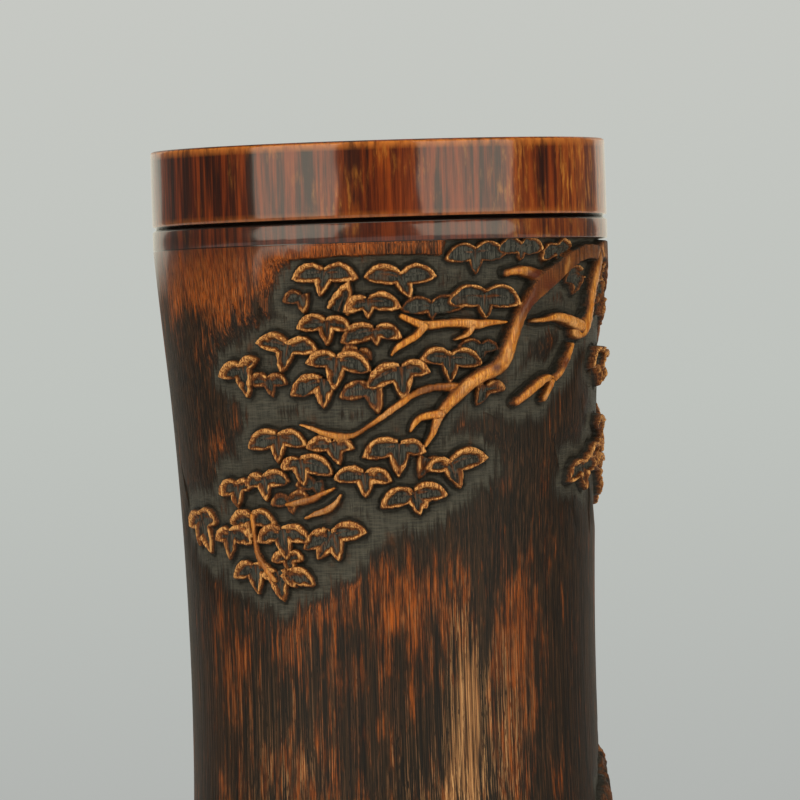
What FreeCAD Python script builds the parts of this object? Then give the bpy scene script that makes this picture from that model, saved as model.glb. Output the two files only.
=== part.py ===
"""Bamboo brush pot: a waisted culm with a turned lip ring, a let-in floor and three feet.

Millimetres, +Z up.  The origin is the middle of the plane that the feet stand on, and the
front of the pot faces -Y.  Every driving size is a named cell of the sheet "sizes", and
every sketch and feature is bound to those cells.
"""
import FreeCAD, Part
import os
import re

import Sketcher
from FreeCAD import Placement, Rotation, Vector

SIZES = (
    # the whole pot
    ("total_height", 165.0),
    ("bore_radius", 39.0),
    # how thick the culm is, at its mouth, its waist and its foot
    ("mouth_wall", 10.0),
    ("waist_wall", 4.6),
    ("foot_wall", 6.4),
    ("waist_height", 44.0),
    # the smooth band under the lip ring, and the step down to the carved ground
    ("band_height", 5.0),
    ("shoulder_step", 0.3),
    # the lip ring, its spigot joint and the groove that marks it
    ("ring_height", 16.8),
    ("lip_outer_round", 0.7),
    ("lip_inner_round", 2.5),
    ("groove_depth", 0.7),
    ("groove_half_width", 0.45),
    ("spigot_wall", 4.5),
    ("spigot_height", 6.0),
    ("spigot_end_gap", 0.3),
    ("glue_gap", 0.05),
    # the floor, in a rabbet at the culm's lower end
    ("floor_thickness", 7.0),
    ("rabbet_depth", 2.2),
    ("peg_radius", 1.2),
    ("peg_grip", 5.0),
    ("peg_sink", 0.3),
    ("fit_gap", 0.02),
    # the feet and their dowels
    ("foot_height", 4.0),
    ("foot_depth", 9.0),
    ("foot_inset", 0.6),
    ("foot_span", 34.0),
    ("foot_round", 0.8),
    ("dowel_radius", 1.0),
    ("dowel_spacing", 12.0),
    ("dowel_inset", 3.2),
    ("dowel_grip", 4.0),
    ("dowel_foot_depth", 2.5),
    ("dowel_end_gap", 0.2),
)

PEG_COUNT = 6
FOOT_ANGLES = {"foot_right": -30.0, "foot_back": 90.0, "foot_left": 210.0}

# Places that several pieces share, as expressions on the sheet's names.
MOUTH_RADIUS = "(bore_radius + mouth_wall)"
WAIST_RADIUS = "(bore_radius + waist_wall)"
CULM_FOOT_RADIUS = "(bore_radius + foot_wall)"
SEAT = "(total_height - ring_height)"
BAND_BOTTOM = f"({SEAT} - band_height)"
SHOULDER_RADIUS = f"({MOUTH_RADIUS} - shoulder_step)"
GROOVE_RADIUS = f"({MOUTH_RADIUS} - groove_depth)"
SPIGOT_RADIUS = "(bore_radius + spigot_wall)"
RABBET_RADIUS = "(bore_radius + rabbet_depth)"
RABBET_TOP = "(foot_height + floor_thickness)"
FLOOR_RADIUS = f"({RABBET_RADIUS} - glue_gap)"
FOOT_OUTER = f"({CULM_FOOT_RADIUS} - foot_inset)"
FOOT_INNER = f"({FOOT_OUTER} - foot_depth)"
PEG_INNER = f"({FLOOR_RADIUS} - peg_grip)"
PEG_HEIGHT = "(foot_height + floor_thickness / 2)"
PEG_HOLE_RADIUS = "(peg_radius + fit_gap)"
DOWEL_CIRCLE = f"({RABBET_RADIUS} - dowel_inset)"
DOWEL_HOLE_RADIUS = "(dowel_radius + fit_gap)"

# The culm's outer arcs both have their centre level with the waist.
FLARE = "(foot_wall - waist_wall)"
FLARE_RISE = "(waist_height - foot_height)"
FLARE_CURVE = f"(({FLARE_RISE}^2 + {FLARE}^2) / (2 * {FLARE}))"
PEG_BELOW_WAIST = f"(waist_height - {PEG_HEIGHT})"
WALL_BOW = f"({FLARE_CURVE} - sqrt({FLARE_CURVE}^2 - {PEG_BELOW_WAIST}^2))"
PEG_OUTER = f"({WAIST_RADIUS} + {WALL_BOW} - peg_sink)"

doc = FreeCAD.newDocument("brush_pot")


def make_sheet():
    """The driving sizes, one named cell each."""
    sheet = doc.addObject("Spreadsheet::Sheet", "sizes")
    for row, (name, size) in enumerate(SIZES, start=1):
        sheet.set(f"A{row}", name)
        sheet.set(f"B{row}", str(size))
        sheet.setAlias(f"B{row}", name)
    doc.recompute()
    return sheet


sheet = make_sheet()
SIZE_WORD = re.compile(r"\b(" + "|".join(name for name, _ in SIZES) + r")\b")


def on_sheet(text):
    """The expression with each size's name pointing at its cell."""
    return SIZE_WORD.sub(r"sizes.\1", text)


def value(text):
    """The number that an expression gives now."""
    return float(sheet.evalExpression(on_sheet(text)))


def new_body(label):
    body = doc.addObject("PartDesign::Body", label)
    body.Label = label
    return body


def origin_item(body, role):
    return next(item for item in body.Origin.OriginFeatures if item.Role == role)


def new_sketch(body, name, plane, offset=None, turn=0.0):
    """A sketch on one of the body's own origin planes, raised by offset and turned in it."""
    sketch = body.newObject("Sketcher::SketchObject", name)
    sketch.AttachmentSupport = [(origin_item(body, plane), "")]
    sketch.MapMode = "FlatFace"
    sketch.AttachmentOffset = Placement(Vector(), Rotation(Vector(0, 0, 1), turn))
    if offset:
        sketch.setExpression("AttachmentOffset.Base.z", on_sheet(offset))
    return sketch


def pin_point(sketch, geometry, place, across, up):
    """Fix one point of the sketch at two bound distances from its origin."""
    for kind, text, axis in (("DistanceX", across, -2), ("DistanceY", up, -1)):
        if text == "0":
            sketch.addConstraint(Sketcher.Constraint("PointOnObject", geometry, place, axis))
            continue
        index = sketch.addConstraint(
            Sketcher.Constraint(kind, -1, 1, geometry, place, value(text))
        )
        sketch.setExpression(f"Constraints[{index}]", on_sheet(text))


def waist_arc(low, high):
    """The arc between two points of the culm's outline, with its centre level with the waist."""
    level = value("waist_height")
    far = low if abs(low.y - level) > abs(high.y - level) else high
    near = high if far is low else low
    rise = abs(far.y - level)
    flare = far.x - near.x
    curve = (rise**2 + flare**2) / (2 * flare)
    middle = (far.y + near.y) / 2
    inward = curve - (curve**2 - (middle - level) ** 2) ** 0.5
    return Part.Arc(high, Vector(near.x + inward, middle, 0), low)


def profile(sketch, corners):
    """A closed outline.  A corner is (across, up); a third item marks the side that leaves it as an arc."""
    points = [Vector(value(corner[0]), value(corner[1]), 0) for corner in corners]
    sides = []
    for index, corner in enumerate(corners):
        here = points[index]
        there = points[(index + 1) % len(points)]
        is_arc = len(corner) == 3
        line = waist_arc(here, there) if is_arc else Part.LineSegment(here, there)
        sides.append((sketch.addGeometry(line), 2 if is_arc else 1, 1 if is_arc else 2))
    for index, (side, start, _) in enumerate(sides):
        previous, _, end = sides[index - 1]
        sketch.addConstraint(Sketcher.Constraint("Coincident", previous, end, side, start))
    for (side, start, _), corner in zip(sides, corners):
        pin_point(sketch, side, start, corner[0], corner[1])
        if len(corner) == 3:
            level = Sketcher.Constraint("DistanceY", -1, 1, side, 3, value("waist_height"))
            index = sketch.addConstraint(level)
            sketch.setExpression(f"Constraints[{index}]", on_sheet("waist_height"))


def circle(sketch, across, up, radius):
    centre = Vector(value(across), value(up), 0)
    index = sketch.addGeometry(Part.Circle(centre, Vector(0, 0, 1), value(radius)))
    pin_point(sketch, index, 3, across, up)
    size = sketch.addConstraint(Sketcher.Constraint("Radius", index, value(radius)))
    sketch.setExpression(f"Constraints[{size}]", on_sheet(radius))


def revolve(body, sketch, name, angle=None):
    """Turn a sketch about the pot's axis, all the way or to both sides by half an angle."""
    feature = body.newObject("PartDesign::Revolution", name)
    feature.Profile = sketch
    feature.ReferenceAxis = (origin_item(body, "Z_Axis"), [""])
    if angle:
        feature.Midplane = True
        feature.setExpression("Angle", on_sheet(angle))
    doc.recompute()
    return feature


def extrude(body, sketch, name, length, cut=False, flip=False):
    """A pad, or a pocket that must take material away."""
    before = body.Shape.Volume if cut else 0.0
    feature = body.newObject("PartDesign::Pocket" if cut else "PartDesign::Pad", name)
    feature.Profile = sketch
    feature.Reversed = flip
    feature.setExpression("Length", on_sheet(length))
    doc.recompute()
    if cut and body.Shape.Volume >= before:
        raise RuntimeError(f"{name} cuts nothing")
    return feature


def repeat(body, feature, name, count):
    """Copies of a feature, evenly round the pot's axis."""
    pattern = body.newObject("PartDesign::PolarPattern", name)
    pattern.Originals = [feature]
    pattern.Axis = (origin_item(body, "Z_Axis"), [""])
    pattern.Angle = 360
    pattern.Occurrences = count
    body.Tip = pattern
    doc.recompute()
    return pattern


def round_edges(body, base, name, size, wanted):
    """Round the edges of base that the test wanted picks."""
    found = [f"Edge{n}" for n, edge in enumerate(base.Shape.Edges, start=1) if wanted(edge)]
    if not found:
        raise RuntimeError(f"{name} finds no edge")
    feature = body.newObject("PartDesign::Fillet", name)
    feature.Base = (base, found)
    feature.setExpression("Radius", on_sheet(size))
    doc.recompute()
    return feature


def rim_test(radius, height):
    """A test for the round edge of one radius at one height."""

    def wanted(edge):
        curve = edge.Curve
        if not isinstance(curve, Part.Circle):
            return False
        level = edge.Vertexes[0].Point.z
        return abs(curve.Radius - value(radius)) < 1e-4 and abs(level - value(height)) < 1e-4

    return wanted


def make_culm_wall():
    """The carved tube: waisted outside, with a spigot on top and a rabbet for the floor."""
    body = new_body("culm_wall")
    outline = new_sketch(body, "culm_outline", "XZ_Plane")
    profile(
        outline,
        (
            (CULM_FOOT_RADIUS, "foot_height", "arc"),
            (WAIST_RADIUS, "waist_height", "arc"),
            (SHOULDER_RADIUS, BAND_BOTTOM),
            (MOUTH_RADIUS, BAND_BOTTOM),
            (MOUTH_RADIUS, f"{SEAT} - groove_half_width"),
            (GROOVE_RADIUS, SEAT),
            (SPIGOT_RADIUS, SEAT),
            (SPIGOT_RADIUS, f"{SEAT} + spigot_height"),
            ("bore_radius", f"{SEAT} + spigot_height"),
            ("bore_radius", RABBET_TOP),
            (RABBET_RADIUS, RABBET_TOP),
            (RABBET_RADIUS, "foot_height"),
        ),
    )
    revolve(body, outline, "culm_turned")
    hole = new_sketch(body, "culm_peg_outline", "YZ_Plane", offset=PEG_INNER)
    circle(hole, "0", PEG_HEIGHT, PEG_HOLE_RADIUS)
    cut = extrude(body, hole, "culm_peg_hole", MOUTH_RADIUS, cut=True, flip=True)
    repeat(body, cut, "culm_peg_holes", PEG_COUNT)
    return body


def make_mouth_ring():
    """The polished lip: a ring that drops over the culm's spigot, with a rounded mouth."""
    body = new_body("mouth_ring")
    outline = new_sketch(body, "ring_outline", "XZ_Plane")
    profile(
        outline,
        (
            (GROOVE_RADIUS, SEAT),
            (MOUTH_RADIUS, f"{SEAT} + groove_half_width"),
            (MOUTH_RADIUS, "total_height"),
            ("bore_radius", "total_height"),
            ("bore_radius", f"{SEAT} + spigot_height + spigot_end_gap"),
            (f"{SPIGOT_RADIUS} + glue_gap", f"{SEAT} + spigot_height + spigot_end_gap"),
            (f"{SPIGOT_RADIUS} + glue_gap", SEAT),
        ),
    )
    turned = revolve(body, outline, "ring_turned")
    outer = round_edges(
        body, turned, "ring_outer_lip", "lip_outer_round", rim_test(MOUTH_RADIUS, "total_height")
    )
    round_edges(
        body, outer, "ring_inner_lip", "lip_inner_round", rim_test("bore_radius", "total_height")
    )
    return body


def dowel_pair(sketch, radius):
    """The two dowel places of the foot that lies along the sketch's first axis."""
    circle(sketch, DOWEL_CIRCLE, "dowel_spacing / 2", radius)
    circle(sketch, DOWEL_CIRCLE, "-dowel_spacing / 2", radius)


def make_floor_disc():
    """The floor: a disc in the culm's rabbet, bored for the pegs and for the feet's dowels."""
    body = new_body("floor_disc")
    outline = new_sketch(body, "floor_outline", "XY_Plane", offset="foot_height")
    circle(outline, "0", "0", FLOOR_RADIUS)
    extrude(body, outline, "floor_turned", "floor_thickness")
    peg = new_sketch(body, "floor_peg_outline", "YZ_Plane", offset=PEG_INNER)
    circle(peg, "0", PEG_HEIGHT, PEG_HOLE_RADIUS)
    cut = extrude(body, peg, "floor_peg_hole", "peg_grip + glue_gap", cut=True, flip=True)
    repeat(body, cut, "floor_peg_holes", PEG_COUNT)
    first_foot = FOOT_ANGLES["foot_right"]
    dowels = new_sketch(body, "floor_dowel_outline", "XY_Plane", offset="foot_height", turn=first_foot)
    dowel_pair(dowels, DOWEL_HOLE_RADIUS)
    cut = extrude(body, dowels, "floor_dowel_hole", "dowel_grip", cut=True, flip=True)
    repeat(body, cut, "floor_dowel_holes", len(FOOT_ANGLES))
    return body


def make_foot(label, angle):
    """One foot: a short stretch of ring under the wall, rounded where it meets the table."""
    body = new_body(label)
    outline = new_sketch(body, f"{label}_outline", "XZ_Plane")
    profile(
        outline,
        (
            (FOOT_INNER, "0"),
            (FOOT_OUTER, "0"),
            (FOOT_OUTER, "foot_height"),
            (FOOT_INNER, "foot_height"),
        ),
    )
    block = revolve(body, outline, f"{label}_block", angle="foot_span")

    def on_table(edge):
        return edge.BoundBox.ZMax < 1e-4

    round_edges(body, block, f"{label}_rounding", "foot_round", on_table)
    holes = new_sketch(body, f"{label}_dowel_outline", "XY_Plane", offset="foot_height")
    dowel_pair(holes, DOWEL_HOLE_RADIUS)
    extrude(body, holes, f"{label}_dowel_holes", "dowel_foot_depth", cut=True)
    body.Placement = Placement(Vector(), Rotation(Vector(0, 0, 1), angle))
    return body


def make_floor_pegs():
    """The pegs that hold the floor: through the wall and into the disc's edge."""
    body = new_body("floor_pegs")
    outline = new_sketch(body, "peg_outline", "YZ_Plane", offset=PEG_INNER)
    circle(outline, "0", PEG_HEIGHT, "peg_radius")
    peg = extrude(body, outline, "peg", f"{PEG_OUTER} - {PEG_INNER}")
    repeat(body, peg, "peg_ring", PEG_COUNT)
    return body


def make_foot_dowels():
    """The dowels between the feet and the floor, two to a foot."""
    body = new_body("foot_dowels")
    base = "foot_height - dowel_foot_depth + dowel_end_gap"
    outline = new_sketch(
        body, "dowel_outline", "XY_Plane", offset=base, turn=FOOT_ANGLES["foot_right"]
    )
    dowel_pair(outline, "dowel_radius")
    pair = extrude(body, outline, "dowel_pair", "dowel_grip + dowel_foot_depth - dowel_end_gap")
    repeat(body, pair, "dowel_ring", len(FOOT_ANGLES))
    return body


def check_document():
    """Stop if any object failed, because a recompute alone doesn't."""
    doc.recompute()
    for item in doc.Objects:
        if {"Invalid", "Error"} & set(item.State):
            raise RuntimeError(f"{item.Label} failed: {item.State}")


def write_piece(body):
    """Write one sub-part under its label, once its shape proves sound."""
    if body.Shape.isNull() or not body.Shape.isValid():
        raise RuntimeError(f"{body.Label} has no valid shape")
    body.Shape.exportStep(os.path.join("parts", f"{body.Label}.step"))
    print(f"{body.Label}: {len(body.Shape.Solids)} solids, {body.Shape.Volume:.1f} mm3")


pieces = [make_mouth_ring(), make_culm_wall(), make_floor_disc()]
pieces += [make_foot(label, angle) for label, angle in FOOT_ANGLES.items()]
pieces += [make_floor_pegs(), make_foot_dowels()]

check_document()
os.makedirs("parts", exist_ok=True)
for piece in pieces:
    write_piece(piece)
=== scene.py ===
"""The brush pot as it looks: a carved bamboo culm, a polished lip, a plain floor and soft light.

Blender objects are in metres.  The carving is drawn in the culm's own two coordinates, the
turn in degrees from the front of the pot (positive towards +X) and the height in millimetres
above the table, and is pressed into the wall's mesh as a height map.
"""

import functools
import math

import bpy
import numpy as np
from mathutils import Matrix, Vector


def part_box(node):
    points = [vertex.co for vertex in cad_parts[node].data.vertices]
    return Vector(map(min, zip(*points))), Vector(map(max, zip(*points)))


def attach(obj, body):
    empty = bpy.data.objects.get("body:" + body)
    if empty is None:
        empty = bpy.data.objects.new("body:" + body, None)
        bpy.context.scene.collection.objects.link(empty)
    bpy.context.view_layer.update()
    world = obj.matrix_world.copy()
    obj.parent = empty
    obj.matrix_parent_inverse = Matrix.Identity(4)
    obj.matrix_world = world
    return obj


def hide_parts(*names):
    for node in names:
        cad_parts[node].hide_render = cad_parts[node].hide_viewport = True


MM = 0.001

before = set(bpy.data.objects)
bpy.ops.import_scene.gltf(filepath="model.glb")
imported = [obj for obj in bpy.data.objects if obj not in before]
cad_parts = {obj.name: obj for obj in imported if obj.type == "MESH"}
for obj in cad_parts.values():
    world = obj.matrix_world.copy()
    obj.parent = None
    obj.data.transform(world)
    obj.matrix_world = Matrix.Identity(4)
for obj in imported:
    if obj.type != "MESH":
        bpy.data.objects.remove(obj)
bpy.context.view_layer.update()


# ---- sizes, in millimetres
def node_box(name):
    """A CAD node's lowest and highest corner, in millimetres."""
    low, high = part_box(name)
    return low / MM, high / MM


RING_LOW, RING_HIGH = node_box("mouth_ring")
WALL_LOW, WALL_HIGH = node_box("culm_wall")
FLOOR_HIGH = node_box("floor_disc")[1]
PEG_LOW, PEG_HIGH = node_box("floor_pegs")

# The gap all round the floor in its rabbet, and round the spigot in the ring.
CLEARANCE = 0.05

MOUTH = min(RING_HIGH.x, RING_HIGH.y)
TOP = RING_HIGH.z
SEAT = RING_LOW.z
FOOT_TOP = WALL_LOW.z
SPIGOT_TOP = WALL_HIGH.z
RABBET_TOP = FLOOR_HIGH.z
RABBET = FLOOR_HIGH.x + CLEARANCE
PEG_END = PEG_HIGH.x
PEG_LEVEL = (PEG_LOW.z + PEG_HIGH.z) / 2
PEG_RADIUS = (PEG_HIGH.z - PEG_LOW.z) / 2
PEG_TURNS = range(-90, 270, 60)
PEG_PIT = 0.15

BORE = 39.0
SPIGOT = 43.5
BAND = 4.8
BAND_LOW = SEAT - BAND
GROOVE_DEPTH = 0.9
GROOVE_HALF = 0.58

# The bare culm's outline: (height, radius), joined by a smooth curve.
CULM_OUTLINE = (
    (FOOT_TOP, 45.2),
    (20.0, 44.1),
    (44.0, 43.6),
    (70.0, 43.95),
    (90.0, 44.75),
    (112.0, 46.2),
    (128.0, 47.65),
    (BAND_LOW, MOUTH - 0.05),
)


# ---- small mathematics
def ease(low, high, x):
    """0 below low, 1 above high, smooth between."""
    part = np.clip((x - low) / (high - low), 0.0, 1.0)
    return part * part * (3.0 - 2.0 * part)


def smooth_curve(stations, x):
    """A smooth curve through (place, amount) stations."""
    places = np.array([station[0] for station in stations])
    amounts = np.array([station[1] for station in stations])
    slopes = np.gradient(amounts, places)
    index = np.clip(np.searchsorted(places, x) - 1, 0, len(places) - 2)
    width = places[index + 1] - places[index]
    part = np.clip((x - places[index]) / width, 0.0, 1.0)
    return (
        (1 + 2 * part) * (1 - part) ** 2 * amounts[index]
        + part * (1 - part) ** 2 * width * slopes[index]
        + part**2 * (3 - 2 * part) * amounts[index + 1]
        + part**2 * (part - 1) * width * slopes[index + 1]
    )


NOISE_KNOTS = 256
CELL_KNOTS = 64
# Noise that goes right round the pot has a knot every so many degrees.
KNOT_TURN = 7.5
KNOTS_ROUND = int(360 / KNOT_TURN)


def lattice_noise(across, up, seed, period=NOISE_KNOTS):
    """Smooth random numbers from -1 to 1, one knot to each unit, repeating across after period."""
    knots = np.random.RandomState(seed).uniform(-1.0, 1.0, (NOISE_KNOTS, NOISE_KNOTS))
    column = np.floor(across).astype(int)
    row = np.floor(up).astype(int)
    x = ease(0.0, 1.0, across - column)
    y = ease(0.0, 1.0, up - row)
    left, right = column % period, (column + 1) % period
    low, high = row % NOISE_KNOTS, (row + 1) % NOISE_KNOTS
    lower = knots[left, low] * (1 - x) + knots[right, low] * x
    upper = knots[left, high] * (1 - x) + knots[right, high] * x
    return lower * (1 - y) + upper * y


def cells(across, up, seed):
    """Irregular cells, about one to each unit: how near their edge a point is, and their level."""
    jitter = np.random.RandomState(seed).uniform(0.0, 1.0, (3, CELL_KNOTS, CELL_KNOTS))
    column = np.floor(across).astype(int)
    row = np.floor(up).astype(int)
    nearest = np.full(across.shape, 9.0)
    second = np.full(across.shape, 9.0)
    level = np.zeros(across.shape)
    for step_across in (-1, 0, 1):
        for step_up in (-1, 0, 1):
            knot = ((column + step_across) % CELL_KNOTS, (row + step_up) % CELL_KNOTS)
            x = column + step_across + jitter[0][knot]
            y = row + step_up + jitter[1][knot]
            away = np.hypot(across - x, up - y)
            level = np.where(away < nearest, jitter[2][knot], level)
            second = np.minimum(second, np.maximum(away, nearest))
            nearest = np.minimum(nearest, away)
    return second - nearest, level


# ---- the carving's grid
CARVED_TURNS = np.arange(-90.0, 190.0, 0.25)
PLAIN_TURNS = np.arange(190.0, 270.0, 1.0)
TURNS = np.concatenate((CARVED_TURNS, PLAIN_TURNS))
HEIGHTS = np.concatenate(
    (
        np.arange(FOOT_TOP, 36.0, 0.25),
        np.arange(36.0, 64.0, 0.5),
        np.arange(64.0, BAND_LOW, 0.2),
        (BAND_LOW,),
    )
)
TURN, HEIGHT = np.meshgrid(TURNS, HEIGHTS)
BARE = smooth_curve(CULM_OUTLINE, HEIGHT)


# Too far from any outline to matter.
FAR_OFF = 99.0
# Roughly how many millimetres a degree of turn is: over most of the culm, and near its mouth.
DEGREE = 0.8
WIDE_DEGREE = 0.85
# How far past a shape its patch of the grid goes, for its stain and its cuts.
MARGIN = 9.0
LIMB_MARGIN = 11.0


class Relief:
    """What the carving is like at each point of the grid.

    near is how far off the nearest outline is, below 0 inside it, and height how far the carving
    stands above its ground, both in millimetres.  limb, crest and hollow are for the material.
    """

    def __init__(self):
        self.near = np.full(TURN.shape, FAR_OFF)
        self.height = np.zeros(TURN.shape)
        self.limb = np.zeros(TURN.shape)
        self.crest = np.zeros(TURN.shape)
        self.hollow = np.zeros(TURN.shape)

    def lay(self, patch, cover, **amounts):
        """Lay a shape over what is already carved, as fully as cover says, from 0 to 1."""
        for name, amount in amounts.items():
            field = getattr(self, name)
            field[patch] = field[patch] * (1 - cover) + amount * cover


relief = Relief()


def bare_radius(height):
    """The bare culm's radius at one height."""
    return float(smooth_curve(CULM_OUTLINE, np.array(height)))


def degree_width(height):
    """How many millimetres a degree of turn is at one height."""
    return math.radians(1.0) * bare_radius(height)


def window(turn, height, reach):
    """The part of the grid near a point, and its offsets from it in millimetres."""
    scale = degree_width(height)
    columns = np.flatnonzero(np.abs(TURNS - turn) < reach / scale)
    rows = np.flatnonzero(np.abs(HEIGHTS - height) < reach)
    patch = np.ix_(rows, columns)
    return patch, (TURN[patch] - turn) * scale, HEIGHT[patch] - height, scale


# ---- leaves
def side_half_width(part, length):
    """Half the width of a lobe that spreads sideways: widest near its middle."""
    return (0.6 + 0.21 * length) * np.clip(1 - ((2 * part - 0.8) / 1.2) ** 2, 0.0, 1.0) ** 0.78


def hanging_half_width(part, length):
    """Half the width of the lobe that hangs down: widest where it starts."""
    return (0.75 + 0.25 * length) * np.clip(1 - part**1.9, 0.0, 1.0) ** 0.8


def lobe_distance(dx, dz, tip):
    """Signed distance from one lobe, below 0 inside it, and the distance from its midrib."""
    hanging = abs(tip[0]) < 0.6 * abs(tip[1])
    start_z = -0.8 if hanging else -1.35
    run_x, run_z = tip[0], tip[1] - start_z
    length = math.hypot(run_x, run_z)
    along_x, along_z = run_x / length, run_z / length
    rise = dz - start_z
    along = (dx * along_x + rise * along_z) / length
    part = np.clip(along, 0.0, 1.0)
    side = 1.0 if tip[0] >= 0 else -1.0
    bow = 0.0 if hanging else 0.09 * length
    across = (rise * along_x - dx * along_z) * side - bow * 4 * part * (1 - part)
    half_width = hanging_half_width if hanging else side_half_width
    half = half_width(part, length)
    step = 0.02
    slope = (half - half_width(np.minimum(part + step, 1.0), length)) / (step * length)
    edge = (np.abs(across) - half) / np.hypot(1.0, slope)
    beyond = length * (along - part)
    distance = np.where(beyond == 0, edge, np.hypot(np.maximum(edge, 0.0), beyond))
    return distance, np.abs(across) + 0.6 * part


def leaf_distance(dx, dz, tips):
    """The nearest lobe's distance, and how far its midrib is."""
    nearest = np.full(dx.shape, FAR_OFF)
    rib = np.full(dx.shape, FAR_OFF)
    for tip in tips:
        distance, across = lobe_distance(dx, dz, tip)
        rib = np.where(distance < nearest, across, rib)
        nearest = np.minimum(nearest, distance)
    return nearest, rib


# Each leaf: where its lobes meet, then the tip of each lobe, then how boldly it stands out, which also
# darkens its crest as painted shade.
# The leaves behind are carved first, so that others lie over them.
LEAVES_BEHIND = (
    ((12.8, 130.9), ((4.6, 129.0), (13.0, 126.5), (21.5, 129.2)), 0.6),
    ((-32.0, 116.4), ((-38.6, 114.4), (-30.7, 111.4), (-26.0, 114.2)), 0.65),
    ((-3.5, 114.0), ((-12.1, 110.8), (-1.5, 107.0)), 0.6),
    ((27.5, 113.4), ((24.7, 108.2), (33.4, 111.6)), 0.6),
    ((26.0, 122.0), ((19.5, 120.6), (26.4, 117.6), (31.5, 120.2)), 0.5),
    ((11.0, 98.4), ((8.6, 93.2), (15.0, 96.0)), 0.55),
    ((-27.8, 91.0), ((-34.0, 88.6), (-27.0, 86.4), (-21.5, 89.8)), 0.55),
    ((-19.5, 94.2), ((-26.0, 92.5), (-18.5, 89.6)), 0.55),
    ((-21.0, 133.8), ((-26.5, 131.6), (-20.5, 128.6)), 0.6),
    ((-6.5, 122.0), ((-11.5, 119.8), (-3.0, 118.4)), 0.5),
    ((52.0, 142.6), ((46.0, 138.8), (53.5, 138.0), (58.5, 141.2)), 0.8),
    ((64.0, 137.0), ((55.4, 134.2), (59.5, 131.3)), 0.8),
)
FRONT_LEAVES = (
    ((-11.4, 129.8), ((-8.2, 135.6),), 0.9),
    ((-14.5, 138.6), ((-23.3, 136.2), (-16.0, 132.2), (-5.8, 136.0)), 1.0),
    ((5.0, 137.2), ((-4.5, 136.2), (7.5, 131.2), (14.4, 135.9)), 1.0),
    ((-2.0, 126.2), ((-11.2, 122.4), (-1.5, 121.5), (5.0, 123.0)), 0.8),
    ((-3.5, 132.4), ((-10.0, 128.9), (-3.6, 127.3), (5.0, 129.4)), 1.0),
    ((-14.5, 128.2), ((-22.6, 125.6), (-14.5, 121.8), (-8.0, 125.2)), 0.9),
    ((-25.3, 123.3), ((-34.7, 122.9), (-27.8, 116.5), (-16.8, 121.0)), 1.0),
    ((-16.0, 115.8), ((-25.5, 111.5), (-16.3, 108.4)), 0.95),
    ((-12.3, 120.2), ((-20.5, 118.3), (-13.3, 112.4), (-3.0, 116.1)), 1.0),
    ((17.4, 119.9), ((9.3, 118.4), (17.4, 113.2), (26.3, 117.0)), 0.9),
    ((4.5, 117.9), ((-4.6, 112.6), (5.0, 109.6), (12.3, 115.6)), 1.0),
    ((-40.0, 118.9), ((-48.0, 116.0), (-38.5, 111.4), (-34.6, 119.6)), 1.0),
    ((25.0, 142.0), ((16.7, 139.4), (25.0, 135.9), (34.0, 140.0)), 0.85),
    ((38.6, 143.0), ((31.3, 141.2), (38.8, 138.6), (46.5, 141.0)), 0.85),
    ((27.5, 132.6), ((17.0, 130.2), (27.5, 126.4), (38.3, 129.6)), 1.0),
    ((-30.0, 104.2), ((-40.0, 100.7), (-30.5, 97.4), (-21.5, 101.0)), 1.0),
    ((-14.5, 102.4), ((-22.0, 100.4), (-12.5, 96.5), (-8.5, 100.0)), 0.9),
    ((-24.0, 98.9), ((-29.7, 96.2), (-23.0, 92.3), (-14.4, 94.6)), 1.0),
    ((3.5, 101.6), ((-6.6, 98.0), (3.0, 93.6), (10.8, 98.7)), 1.0),
    ((-6.0, 95.7), ((-14.6, 93.6), (-6.0, 89.4), (1.4, 92.8)), 1.0),
    ((17.2, 97.3), ((10.2, 95.2), (20.0, 90.8), (28.0, 97.2)), 1.0),
    ((7.0, 91.4), ((-2.2, 87.4), (8.7, 85.4), (16.4, 89.6), (10.6, 86.8)), 1.0),
    ((-45.0, 94.2), ((-52.5, 91.0), (-45.5, 87.8), (-39.5, 92.4)), 1.0),
    ((-35.5, 95.4), ((-42.0, 92.8), (-35.0, 89.4), (-27.0, 93.4)), 0.9),
    ((-64.0, 87.6), ((-72.0, 84.2), (-65.5, 80.0), (-55.0, 85.0), (-58.3, 78.4)), 0.9),
    ((-40.5, 87.4), ((-48.6, 84.6), (-41.0, 81.6), (-32.2, 84.4)), 1.0),
    ((-49.0, 84.2), ((-55.7, 81.2), (-50.0, 77.0), (-40.5, 80.5)), 0.9),
    ((-40.5, 76.8), ((-48.5, 73.2), (-39.4, 69.6), (-34.5, 74.0)), 1.0),
    ((-33.0, 75.3), ((-38.0, 73.4), (-31.0, 68.0)), 1.0),
    ((-29.0, 79.0), ((-34.5, 76.6), (-28.5, 73.8), (-24.0, 76.8)), 0.8),
    ((-29.5, 75.2), ((-21.3, 71.4), (-27.0, 70.8)), 1.0),
    ((-15.5, 83.2), ((-24.2, 79.0), (-14.0, 76.3), (-5.9, 82.2), (-20.3, 76.6)), 1.0),
    ((-30.5, 84.2), ((-39.0, 80.8), (-29.4, 76.8), (-21.8, 80.6)), 1.0),
    ((79.0, 134.8), ((71.5, 129.0), (79.0, 127.0), (88.0, 131.0)), 0.8),
    ((79.0, 119.8), ((70.0, 115.7), (78.5, 111.5), (88.0, 116.0)), 0.8),
    ((66.0, 96.2), ((57.5, 91.4), (68.5, 89.6), (76.0, 94.6)), 0.9),
)

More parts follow.
